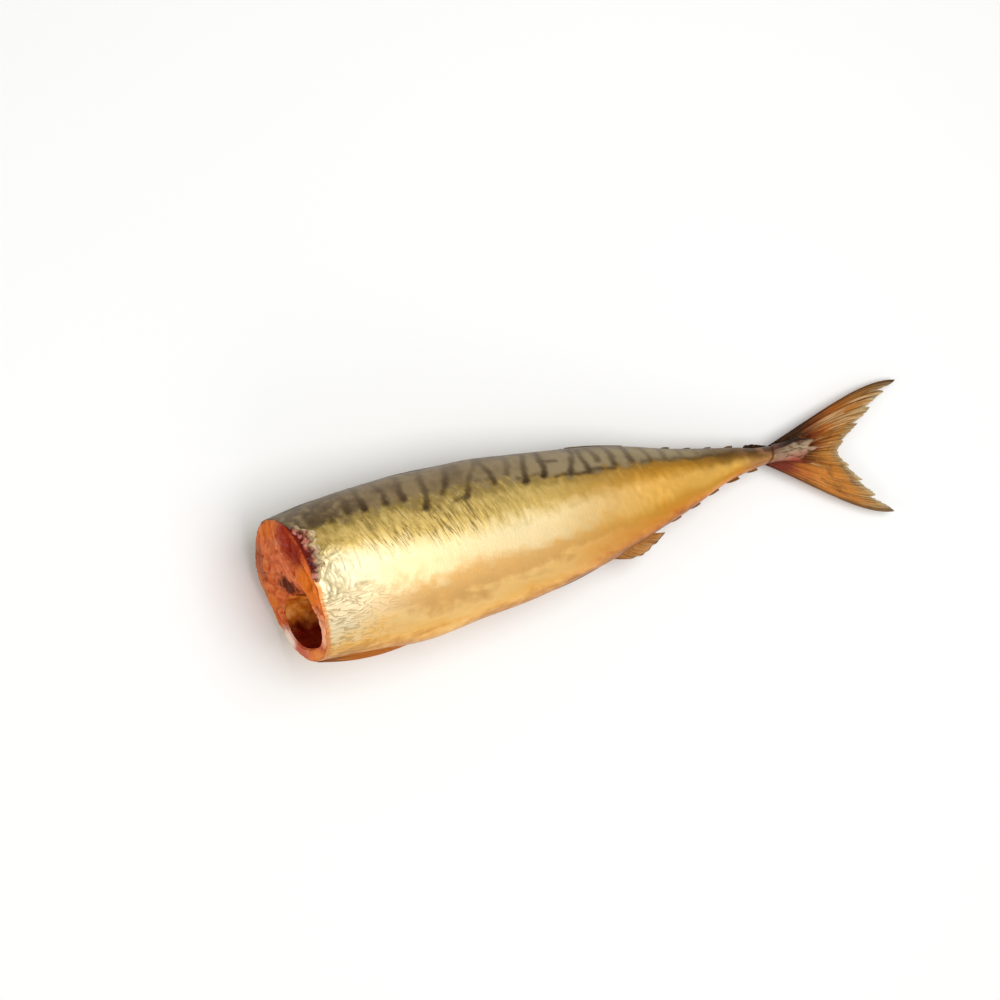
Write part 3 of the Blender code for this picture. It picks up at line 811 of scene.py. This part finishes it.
def fleshMaterial():
    # Hot-smoked fish flesh: firm cooked muscle, moist with oil. Salmon-orange, deep red near the skin,
    # browner on the far side, with dark blood round the backbone; light goes a little way in.
    material, tree = newMaterial("moist_smoked_flesh", {
        "Roughness": 0.4, "IOR": 1.4, "Specular IOR Level": 0.08, "Coat Roughness": 0.08, "Coat IOR": 1.4,
        "Subsurface Weight": 0.12, "Subsurface Scale": 0.003, "Subsurface Radius": (1.0, 0.3, 0.1),
    })
    read = {key: addNode(tree, "Attribute", attribute_name=key).outputs["Fac"] for key in fleshKeys}
    place = addNode(tree, "CombineXYZ", read["height"], read["sideways"])
    mottle = addNode(tree, "TexNoise", place, Scale=0.35, Detail=6.0, Roughness=0.6, Distortion=0.8)
    fibre = addNode(tree, "TexNoise", place, Scale=1.1, Detail=4.0)
    colour = addNode(tree, "ValToRGB", mottle, stops=((0.3, "#bd4a1c"), (0.5, "#d76a34"), (0.68, "#e58a54")))
    patches = (  # middle height, middle sideways, reach up and down, reach sideways, colour, strength
        (25.0, -6.0, 7.0, 13.0, "#dd6f1c", 0.9),
        (18.5, 10.0, 9.5, 6.0, "#982000", 0.9),
        (12.5, 14.5, 6.5, 4.6, "#8a1800", 0.9),
        (7.5, 0.0, 7.5, 9.0, "#e07648", 0.85),
        (0.0, 16.0, 9.0, 6.0, "#e0741a", 0.9),
        (12.0, -16.0, 9.0, 6.0, "#a85c3a", 0.9),
        (3.0, -20.0, 7.0, 5.0, "#c87c48", 0.8),
        (-19.0, -16.5, 6.5, 6.0, "#f0d4c2", 1.0),
        (-3.5, -16.0, 4.0, 3.0, "#d77a22", 0.8),
        (-16.5, 14.5, 10.0, 5.0, "#f4ac84", 0.95),
        (-25.5, 5.0, 3.5, 8.0, "#e8842a", 0.9),
        (-24.0, -9.0, 5.0, 6.0, "#c05844", 0.85),
        (-4.0, 5.0, 3.2, 6.0, "#c26c34", 0.9),
    )
    for middleHeight, middleSide, reachHeight, reachSide, shade, strength in patches:
        offset = addNode(tree, "VectorMath", place, (middleHeight, middleSide, 0.0), operation="SUBTRACT")
        scaled = addNode(tree, "VectorMath", offset, (reachHeight, reachSide, 1.0), operation="DIVIDE")
        length = addNode(tree, "VectorMath", scaled, operation="LENGTH")
        ragged = addNode(tree, "Math", fibre, 0.7, length, operation="MULTIPLY_ADD")
        colour = paint(tree, colour, shade, (ragged, 1.5, 0.8, strength))

    # dark blood round the backbone, drawn out into fibres
    offset = addNode(tree, "VectorMath", place, (cutShape["boneHeight"] - 0.2, -3.0, 0.0),
                     operation="SUBTRACT")
    scaled = addNode(tree, "VectorMath", offset, (4.4, 5.2, 1.0), operation="DIVIDE")
    length = addNode(tree, "VectorMath", scaled, operation="LENGTH")
    strands = addNode(tree, "Mapping", place, Rotation=(0.0, 0.0, -0.63))
    strands = addNode(tree, "Mapping", strands, Scale=(0.16, 0.6, 1.0))
    strands = addNode(tree, "TexNoise", strands, Scale=1.0, Detail=3.0)
    ragged = addNode(tree, "Math", strands, 2.6, length, operation="MULTIPLY_ADD")
    colour = paint(tree, colour, "#582310", (ragged, 2.45, 1.75, 0.95))
    # painted shade in the clefts between the muscle blocks
    colour = paint(tree, colour, "#7a2408", read["cleft"], 0.3)
    colour = paint(tree, colour, "#6d1a0c", read["skirt"])
    rough = addNode(tree, "MapRange", mottle, 0.3, 0.7, 0.24, 0.5)
    wet = addNode(tree, "TexNoise", place, Scale=0.5, Detail=2.0, Distortion=1.0)
    wet = addNode(tree, "MapRange", wet, 0.55, 0.63, 0.0, 0.35)
    grain = addNode(tree, "TexNoise", place, Scale=1.8, Detail=5.0)
    bump = addNode(tree, "Bump", Height=grain, Strength=0.5, Distance=0.0008)
    return feed(material, {"Base Color": colour, "Roughness": rough, "Coat Weight": wet, "Normal": bump})


addPiece(makeFlesh(), fleshMaterial())
print("cut flesh")


tornFilm = {  # torn and rolled-back edge of the skin on the upper left rim
    "from": math.radians(31),
    "to": math.radians(92),
    "across": 30,
    "along": 190,
    "overhang": 1.7,
    "width": 5.5,
    "widthChange": 4.0,
    "thickness": 0.4,
    "relief": 0.5,
    "foldSize": 3.4,
    "droop": 2.2,  # how far its front edge hangs down
    "droopShare": 0.28,
}


def makeTornFilm():
    def pointAt(i, j):
        v, u = i / tornFilm["across"], j / tornFilm["along"]
        angle = tornFilm["from"] + (tornFilm["to"] - tornFilm["from"]) * u
        size = tornFilm["foldSize"]
        width = tornFilm["width"] + tornFilm["widthChange"] * ripple(u * 9.0, 1.0, 0.0)
        width = tornFilm["overhang"] + max(width, 1.2) * hump(-0.05, 1.05, u, 0.3)
        s = rimStart(angle) - tornFilm["overhang"] * hump(0.0, 1.0, u, 0.2) + width * v
        d, l, out = skinPoint(s, angle)
        bend = 1.2 * ripple(s / 3.0, d / 3.0, 6.0)
        fold = min(1.0, 2.4 * abs(ripple(s / size + bend, d / (1.3 * size) - bend, l / size)))
        small = ripple(s / 0.9, d / 1.1, l / 1.1)
        lift = hump(0.0, 1.0, v, 0.34) * hump(0.0, 1.0, u, 0.14)
        relief = tornFilm["relief"] * (1 - 0.55 * smooth(0.4, 0.9, v)) * (fold + 0.25 * small)
        height = 0.5 * (lift - 1) + lift * (tornFilm["thickness"] + relief)
        height -= tornFilm["droop"] * max(0.0, 1 - v / tornFilm["droopShare"]) ** 2
        return onTable(s, d + out[0] * height, l + out[1] * height), (s * mm, d * mm), (fold, v)

    return gridPiece("torn_film", tornFilm["across"], tornFilm["along"], pointAt, ("fold", "outward"))


def tornFilmMaterial():
    # Torn skin film: dark red near the cut, where the flesh shows through, pinkish beige further out, wet on
    # its folds; both follow the fold height, with painted shade in the crevices and a painted highlight on
    # the crests
    material, tree = newMaterial("wet_torn_skin_film", {
        "Roughness": 0.32, "IOR": 1.4, "Specular IOR Level": 0.35, "Coat Weight": 0.25, "Coat Roughness": 0.1,
        "Subsurface Weight": 0.1, "Subsurface Scale": 0.001,
    })
    uv = addNode(tree, "UVMap", uv_map="UVMap")
    fold = addNode(tree, "Attribute", attribute_name="fold").outputs["Fac"]
    outward = addNode(tree, "Attribute", attribute_name="outward").outputs["Fac"]
    mottle = addNode(tree, "TexNoise", uv, Scale=1 / 0.0025, Detail=4.0)
    foldLightAndShade = addNode(tree, "Math", mottle, 1.0, fold, operation="MULTIPLY_ADD")
    # colour by fold height: painted shade in the crevices, painted highlight on the crests
    atCut = addNode(tree, "ValToRGB", addNode(tree, "Math", foldLightAndShade, 0.64, operation="MULTIPLY"), stops=(
        (0.3, "#3d0b05"), (0.55, "#6e1c0c"), (0.85, "#9c4430"), (1.0, "#c07c68"),
    ))
    paler = addNode(tree, "Math", outward, 0.6, foldLightAndShade, operation="MULTIPLY_ADD")
    onSkin = addNode(tree, "ValToRGB", addNode(tree, "Math", paler, 0.5, operation="MULTIPLY"), stops=(
        (0.3, "#6a5030"), (0.46, "#8f7648"), (0.66, "#b59a70"), (0.95, "#d4ba90"),
    ))
    across = addNode(tree, "Math", mottle, 0.5, outward, operation="MULTIPLY_ADD")
    colour = paint(tree, atCut, onSkin, (across, 0.5, 0.95, 1.0))
    bump = addNode(tree, "Bump", Height=mottle, Strength=0.6, Distance=0.0006)
    return feed(material, {"Base Color": colour, "Normal": bump})


addPiece(makeTornFilm(), tornFilmMaterial())
print("torn skin film")


# Belly cavity

liningMesh = {
    "around": 160,
    "rings": 90,
    "ribSpacing": 4.4,
    "ribHeight": 0.35,
    "hangHeight": 2.6,  # strips of membrane on the upper walls just inside the mouth
    "hangAt": 9.0,
    "hangLength": 6.0,
}

liningKeys = ("depth", "upward", "leftward")


def makeLining():
    around, rings = liningMesh["around"], liningMesh["rings"]

    def pointAt(i, j):
        angle = -math.pi + 2 * math.pi * j / around
        t = i / rings
        s = cavityShape["length"] * t**1.3
        d, l = cavityPoint(s, angle)
        middle = through(cavityShape["stations"], s)[0]
        inward = Vector((d - middle, l - cavityShape["side"]))
        reach = max(inward.length, 0.01)
        along = s + 0.8 * (d - middle)
        ribs = liningMesh["ribHeight"] * math.sin(2 * math.pi * along / liningMesh["ribSpacing"])
        ribs *= smooth(-0.4, 0.3, math.cos(angle)) * smooth(1.0, 6.0, s) * (1 - t)
        rough = 0.6 * ripple(s / 5.0, d / 4.0, l / 4.0) * smooth(0.0, 4.0, s) * (1 - t)
        hang = bell(s, liningMesh["hangAt"], liningMesh["hangLength"]) * smooth(-0.3, 0.7, math.cos(angle))
        hang *= liningMesh["hangHeight"] * (0.55 + 0.8 * ripple(angle * 2.6, s / 9.0, 3.0))
        inward *= (reach + 0.25 * (1 - smooth(0, 2, s)) - ribs - rough - hang) / reach
        slanted = -cutShape["slant"] * d * (1 - smooth(0.0, 14.0, s))
        if i == rings:
            inward *= 0.0
        place = onTable(s + slanted + 0.8 * (1 - t), middle + inward[0], cavityShape["side"] + inward[1])
        return place, (s * mm, angle * 0.012), (s, math.cos(angle), math.sin(angle))

    lining = gridPiece("cavity_lining", rings, around, pointAt, liningKeys, weld=True)
    lining.data.flip_normals()
    return lining


def liningMaterial():
    # Belly lining: a thin wet membrane over flesh, painted as lit and shaded. Near the mouth the upper walls
    # are bright orange and glow faintly by emission, painted light; low down it is a dark red shaded copy and
    # deeper in nearly black, both painted shade.
    material, tree = newMaterial("wet_belly_lining", {
        "Roughness": 0.26, "IOR": 1.4, "Specular IOR Level": 0.4, "Coat Weight": 0.35, "Coat Roughness": 0.1,
        "Subsurface Weight": 0.2, "Subsurface Scale": 0.004, "Emission Strength": 0.16,
    })
    read = {key: addNode(tree, "Attribute", attribute_name=key).outputs["Fac"] for key in liningKeys}
    place = addNode(tree, "CombineXYZ", read["depth"], read["upward"], read["leftward"])
    stretched = addNode(tree, "VectorMath", place, (0.16, 2.2, 2.2), operation="MULTIPLY")
    mottle = addNode(tree, "TexNoise", stretched, Scale=1.0, Detail=5.0)
    lit = addNode(tree, "ValToRGB", mottle, stops=((0.3, "#a83c08"), (0.5, "#e2842c"), (0.7, "#f4b068")))
    # painted shade: a dark red copy of the lining for its lower walls
    dark = addNode(tree, "ValToRGB", mottle, stops=((0.35, "#4a0402"), (0.6, "#6e0c06"), (0.75, "#a04434")))
    low = addNode(tree, "Math", mottle, 0.8, read["upward"], operation="MULTIPLY_ADD")
    colour = paint(tree, lit, dark, (low, 0.75, 0.1, 1.0))
    colour = paint(tree, colour, "#cf7b62", (read["depth"], 5.0, 1.0, 0.8), (read["leftward"], 0.3, 0.8, 1.0))
    # painted shade deeper in the cavity
    deepShade = addNode(tree, "MapRange", read["depth"], 12.0, 60.0)
    colour = paint(tree, colour, "#2c0606", deepShade)
    bump = addNode(tree, "Bump", Height=mottle, Strength=0.5, Distance=0.0008)
    # the lining's colour also glows faintly by emission, painted light
    return feed(material, {"Base Color": colour, "Emission Color": colour, "Normal": bump})


addPiece(makeLining(), liningMaterial())
print("belly cavity")


# Tail fin

tailShape = {
    "upper": ((201.0, 3.4), (224.0, 8.6), (252.0, 20.6), (268.0, 16.2)),  # edge root, two controls and tip
    "lower": ((200.0, -1.2), (217.0, -10.6), (238.5, -31.6), (254.0, -33.0)),
    "forkRoot": (214.0, -0.8),
    "fork": (235.5, -4.6),
    "rays": 12,  # in each lobe
    "pointsPerRay": 12,
    "steps": 72,
    "rootThickness": 1.9,
    "edgeThickness": 0.45,
    "rayHeight": 0.45,
    "rayDrift": 0.3,  # unevenness of the rays' spacing
    "teeth": 4.3,  # torn steps along the trailing edge of each lobe
    "toothDepth": 0.11,
    "toothPower": 1.6,
    "fray": 0.05,
    "wave": 0.6,
}


def bezier(points, t):
    a, b, c, e = points
    weights = ((1 - t) ** 3, 3 * t * (1 - t) ** 2, 3 * t * t * (1 - t), t**3)
    return [sum(w * p[k] for w, p in zip(weights, (a, b, c, e))) for k in (0, 1)]


tailKeys = ("inward", "outward", "ridge", "upperLobe")


def makeTail():
    fork = [[a + (b - a) * k / 3 for a, b in zip(tailShape["forkRoot"], tailShape["fork"])] for k in range(4)]

    def middleAt(u, v):  # u from the upper leading edge over the fork to the lower one, v from root to edge
        share = 1 - abs(2 * u - 1)
        upper = u < 0.5
        lobe = tailShape["upper"] if upper else tailShape["lower"]
        side = 0.0 if upper else 5.0
        drift = share * (1 - share) * ripple(share * 9.0, side, 4.0)
        ray = (share + tailShape["rayDrift"] * drift) * tailShape["rays"]
        curve = [[a + (b - a) * share for a, b in zip(p, q)] for p, q in zip(lobe, fork)]
        split = smooth(0.4, 0.62, v)  # each ray forks into two on its way out
        single = 0.5 + 0.5 * math.cos(2 * math.pi * ray)
        double = 0.5 + 0.5 * math.cos(4 * math.pi * ray)
        ridge = single * (1 - split) + double * split
        depth = 0.75 + 0.7 * ripple(math.floor(ray) * 3.7, side + 0.5, 8.3)  # of each gap
        warped = share + 0.06 * ripple(share * 5.0, side, 2.0)
        tooth = (warped * tailShape["teeth"] + (0.3 if upper else 0.75)) % 1.0
        steep = tooth ** tailShape["toothPower"]
        tooth = steep * smooth(1.0, 0.9, tooth) if tooth > 0.9 else steep
        size = 0.6 + 0.8 * abs(ripple(math.floor(warped * tailShape["teeth"]) * 3.7, side, 1.0))
        frayed = 0.5 + 0.5 * ripple(ray * 1.9, side, 0.0) + 0.25 * (0.5 - 0.5 * math.cos(4 * math.pi * ray))
        cut = tailShape["toothDepth"] * size * tooth + tailShape["fray"] * frayed
        cut *= smooth(0.02, 0.14, share)
        cut *= smooth(0.7, 1.0, v)
        reach = 1 - cut * (1 - 0.6 * smooth(0.85, 1.0, share))
        s, d = bezier(curve, v * reach)
        thinning = tailShape["edgeThickness"] - tailShape["rootThickness"]
        taper = tailShape["rootThickness"] + thinning * v**0.6
        leading = 0.5 * (1 - smooth(0.0, 0.08, share)) * (1 - 0.6 * v)
        rays = tailShape["rayHeight"] * ridge * (1 - 0.5 * v) * smooth(0.05, 0.2, v)
        thickness = taper * 0.62 + leading + rays
        lift = tailShape["wave"] * math.sin(5.0 * u + 2.0 * v) * v
        lift += 0.6 * ripple(ray * 0.5, v * 3.0, side) * v
        values = (share, v, 1 - (1 - ridge) * depth, 1.0 if upper else 0.0)
        return s, d, lift, thickness, (share * 0.03 + side * 0.02, v * 0.05), values

    columns = 2 * tailShape["rays"] * tailShape["pointsPerRay"]
    return thinPiece("tail_fin", columns, tailShape["steps"], middleAt, tailKeys)


def tailMaterial():
    # Dried, smoked tail fin: thin skin between bony rays. Nearly black at the root of the upper lobe, red at
    # the root of the lower one, amber further out, with pale torn film at the trailing edges.
    material, tree = newMaterial("dried_tail_fin", {
        "Roughness": 0.42, "IOR": 1.45, "Specular IOR Level": 0.2, "Subsurface Weight": 0.12,
        "Subsurface Scale": 0.001, "Coat Weight": 0.08, "Coat Roughness": 0.25,
    })
    uv = addNode(tree, "UVMap", uv_map="UVMap")
    read = {key: addNode(tree, "Attribute", attribute_name=key).outputs["Fac"] for key in tailKeys}
    streaks = stretchedNoise(tree, uv, (0.0009, 0.016), Detail=4.0, Distortion=0.4)
    cloudy = addNode(tree, "TexNoise", uv, Scale=1 / 0.007, Detail=3.0)
    outward = addNode(tree, "Math", cloudy, 0.3, read["outward"], operation="MULTIPLY_ADD")
    outward = addNode(tree, "Math", outward, 0.15, operation="SUBTRACT")
    upper = addNode(tree, "ValToRGB", outward, stops=(
        (0.0, "#120705"), (0.27, "#200c07"), (0.36, "#8c340c"), (0.5, "#d67a22"), (0.76, "#dc963c"),
        (0.93, "#c49a5c"),
    ))
    lower = addNode(tree, "ValToRGB", outward, stops=(
        (0.0, "#a04c38"), (0.15, "#a83c2c"), (0.27, "#e08030"), (0.45, "#fca83c"), (0.72, "#f6a840"),
        (0.9, "#d6aa62"), (0.98, "#dcc898"),
    ))
    colour = paint(tree, lower, upper, read["upperLobe"])

    # brown clouds
    colour = paint(tree, colour, "#9c5218", (cloudy, 0.52, 0.68, 0.55))

    # darker where the two lobes meet, next to the end of the skin
    middle = addNode(tree, "ValToRGB", read["inward"], stops=((0.56, 0.0), (0.8, 0.85)))
    nearSkin = addNode(tree, "ValToRGB", outward, stops=((0.42, 1.0), (0.74, 0.0)))
    colour = paint(tree, colour, "#74300f", middle, nearSkin)

    # fine dark lines between the rays
    gap = addNode(tree, "MapRange", read["ridge"], 0.5, 0.0, 0.0, 0.75)
    colour = paint(tree, colour, "#6e300c", gap)
    crest = addNode(tree, "Math", streaks, 1.2, read["ridge"], operation="MULTIPLY_ADD")
    crest = addNode(tree, "MapRange", crest, 1.2, 1.65, 0.0, 0.7)
    colour = paint(tree, colour, "#eebc74", crest, read["outward"])

    # cream streaks: bare rays on the inner half of the upper lobe, thin ones elsewhere
    inner = addNode(tree, "ValToRGB", read["inward"], stops=(
        (0.14, 0.0), (0.28, 1.0), (0.5, 1.0), (0.75, 0.25),
    ))
    farOut = addNode(tree, "ValToRGB", read["outward"], stops=((0.42, 0.0), (0.66, 1.0)))
    bare = addNode(tree, "Math", inner, farOut, operation="MULTIPLY")
    bare = addNode(tree, "Math", bare, read["upperLobe"], operation="MULTIPLY")
    bare = addNode(tree, "Math", bare, 0.13, streaks, operation="MULTIPLY_ADD")
    colour = paint(tree, colour, "#f4d8a4", (bare, 0.6, 0.7, 0.85),
                   addNode(tree, "ValToRGB", read["outward"], stops=((0.2, 0.0), (0.38, 1.0))))

    # cream torn film along the trailing edges, dark leading edges
    film = addNode(tree, "Math", streaks, 0.25, read["outward"], operation="MULTIPLY_ADD")
    colour = paint(tree, colour, "#e0cc9c", (film, 1.01, 1.14, 0.8),
                   addNode(tree, "ValToRGB", read["inward"], stops=((0.02, 0.0), (0.12, 1.0))))
    colour = paint(tree, colour, "#4c2c14", (read["inward"], 0.12, 0.02, 0.65))
    height = addNode(tree, "Math", read["ridge"], 0.5, streaks, operation="MULTIPLY_ADD")
    bump = addNode(tree, "Bump", Height=height, Strength=0.9, Distance=0.001)
    return feed(material, {"Base Color": colour, "Normal": bump})


addPiece(makeTail(), tailMaterial())
print("tail fin")


# Small fins

smallFins = {
    "anal": dict(start=127.0, length=19.0, height=3.0, lean=7.0),
    "back": dict(start=118.0, length=24.0, height=0.2, lean=1.5),
    "lastBackFinlet": dict(start=193.0, length=10.0, height=1.2, lean=1.5),
    "thickness": 1.0,
    "rootDepth": 1.6,
    # start, length along the body and height of each finlet
    "backFinlets": ((157.0, 7.0, 0.6), (166.0, 7.0, 0.6), (175.0, 7.0, 0.6), (184.0, 7.0, 0.7)),
    "bellyFinlets": (
        (153.0, 10.0, 1.2), (162.0, 10.5, 1.3), (171.5, 10.5, 1.2), (181.0, 10.5, 1.2), (191.0, 9.0, 1.1),
    ),
    "finletRoot": 0.75,
    "finletSweep": 0.64,
    "pelvicRoot": 4.5,
    "pelvicLength": 36.0,
    "pelvicUpperEdge": math.radians(24),
    "pelvicOverhang": 2.6,
    "pelvicGap": 1.5,
    "pelvicSink": 0.965,
}


def edgeOf(s, side):
    back, belly = through(bodyShape["stations"], s)[:2]
    return back if side > 0 else belly


def makeRidgeFin(name, side, start, length, height, lean):
    rays = 11

    def middleAt(u, v):
        s = start + length * u
        crown = height * math.sin(math.pi * (0.04 + 0.92 * u)) ** 0.6 * (1.1 - 0.45 * u)
        crown *= 1 + 0.3 * ripple(u * 7.0, side, 0.0)
        d = edgeOf(s, side) - smallFins["rootDepth"] + (smallFins["rootDepth"] + crown) * v
        crinkle = 0.25 * ripple(u * 9.0, v * 1.5, side)
        ridge = 0.5 + 0.5 * math.cos(2 * math.pi * (u + 0.5 * crinkle) * rays)
        lift = 0.35 * math.sin(9 * u + 3 * v) * v + 2.0 * crinkle * v
        thickness = smallFins["thickness"] * (1.0 - 0.55 * v) + 0.3 * ridge * (1 - 0.5 * v)
        return s + lean * v * v, side * d, lift, thickness, (u * rays * 0.001, v * 0.012), (0.5, v, ridge)

    return thinPiece(name, rays * 10, 12, middleAt, ("inward", "outward", "ridge"))


def makeFinlet(name, side, start, length, height, k):
    def middleAt(u, v):
        s = start + length * (smallFins["finletRoot"] * u * (1 - 0.75 * v) + smallFins["finletSweep"] * v)
        rise = -smallFins["rootDepth"] * (1 - v) ** 3 + height * math.sin(math.pi / 2 * v)
        ridge = 0.5 + 0.5 * math.cos(2 * math.pi * u * 4)
        thickness = smallFins["thickness"] * (1.1 - 0.55 * v) + 0.2 * ridge * (1 - v)
        lift = 0.5 * v * math.sin(2.1 * k + 0.8)
        return s, side * (edgeOf(s, side) + rise), lift, thickness, (u * 0.004, v * 0.012), (u, v, ridge)

    return thinPiece(name, 24, 18, middleAt, ("inward", "outward", "ridge"))


def makePelvicFin(name, side):
    rays = 7

    def middleAt(u, v):
        s = smallFins["pelvicRoot"] + smallFins["pelvicLength"] * v
        leaf = math.sin(math.pi * (0.12 + 0.85 * v))
        angle = math.pi - smallFins["pelvicUpperEdge"] * (1 - 0.75 * v**2)
        d, l, out = skinPoint(s, side * angle)
        upper = (d * smallFins["pelvicSink"], l * smallFins["pelvicSink"])
        lowest = -edgeOf(s, -1) - smallFins["pelvicOverhang"] * leaf + 0.64
        ridge = 0.5 + 0.5 * math.cos(2 * math.pi * u * rays)
        bulge = side * (0.8 * math.sin(math.pi * u) * leaf + 0.25 * ripple(u * 5.0, v * 6.0, side))
        place = [a + (b - a) * u for a, b in zip(upper, (lowest, side * smallFins["pelvicGap"]))]
        thickness = smallFins["thickness"] * (1.5 - 0.8 * v) + 0.35 * ridge * (1 - 0.4 * v)
        return s, place[0], place[1] + bulge, thickness, (u * rays * 0.001, v * 0.036), (u, v, ridge)

    return thinPiece(name, rays * 10, 60, middleAt, ("inward", "outward", "ridge"))


def smallFinMaterial(name, rootShade, middleShade, edgeShade, gapShade):
    # Dried fish fin: thin skin over bony rays, amber and brown from the smoke, paler at its thin edge
    material, tree = newMaterial(name, {
        "Roughness": 0.45, "IOR": 1.45, "Specular IOR Level": 0.15, "Subsurface Weight": 0.12,
        "Subsurface Scale": 0.001, "Coat Weight": 0.05, "Coat Roughness": 0.25,
    })
    uv = addNode(tree, "UVMap", uv_map="UVMap")
    outward = addNode(tree, "Attribute", attribute_name="outward").outputs["Fac"]
    ridge = addNode(tree, "Attribute", attribute_name="ridge").outputs["Fac"]
    streaks = stretchedNoise(tree, uv, (0.0011, 0.012), Detail=4.0)
    placed = addNode(tree, "Math", streaks, 0.4, outward, operation="MULTIPLY_ADD")
    colour = addNode(tree, "ValToRGB", addNode(tree, "Math", placed, 0.8, operation="MULTIPLY"), stops=(
        (0.16, rootShade), (0.42, middleShade), (0.8, middleShade), (1.0, edgeShade),
    ))
    gap = addNode(tree, "MapRange", ridge, 0.5, 0.0, 0.0, 0.6)
    colour = paint(tree, colour, gapShade, gap)
    colour = paint(tree, colour, edgeShade, (streaks, 0.56, 0.68, 0.7))
    bump = addNode(tree, "Bump", Height=streaks, Strength=0.4, Distance=0.0004)
    return feed(material, {"Base Color": colour, "Normal": bump})


# the pelvic fins and the belly finlets are darker at the root, partly painted shade where they lie against
# the body
pelvicMaterial = smallFinMaterial("dried_pelvic_fin", "#a05410", "#ea8c1c", "#f4bc6c", "#8c4408")
analMaterial = smallFinMaterial("dried_anal_fin", "#b3742c", "#d0954a", "#e8c48a", "#94602a")
backFinMaterial = smallFinMaterial("dried_back_fin", "#86724c", "#927e58", "#a08c64", "#7c6844")
bellyFinletMaterial = smallFinMaterial("dried_belly_finlet", "#8a5a22", "#a8762f", "#c39a5a", "#6b4416")
lastFinletMaterial = smallFinMaterial("dark_dried_finlet", "#1e120a", "#2e1c10", "#5a4028", "#140a06")
addPiece(makeRidgeFin("anal_fin", -1, **smallFins["anal"]), analMaterial)
addPiece(makeRidgeFin("back_fin", 1, **smallFins["back"]), backFinMaterial)
for name, side, fin in (("back", 1, backFinMaterial), ("belly", -1, bellyFinletMaterial)):
    for k, (start, length, height) in enumerate(smallFins[name + "Finlets"]):
        addPiece(makeFinlet(f"{name}_finlet_{k + 1}", side, start, length, height, k), fin)
addPiece(makeRidgeFin("back_finlet_5", 1, **smallFins["lastBackFinlet"]), lastFinletMaterial)
addPiece(makePelvicFin("pelvic_fin_left", 1), pelvicMaterial)
addPiece(makePelvicFin("pelvic_fin_right", -1), pelvicMaterial)
print("small fins")
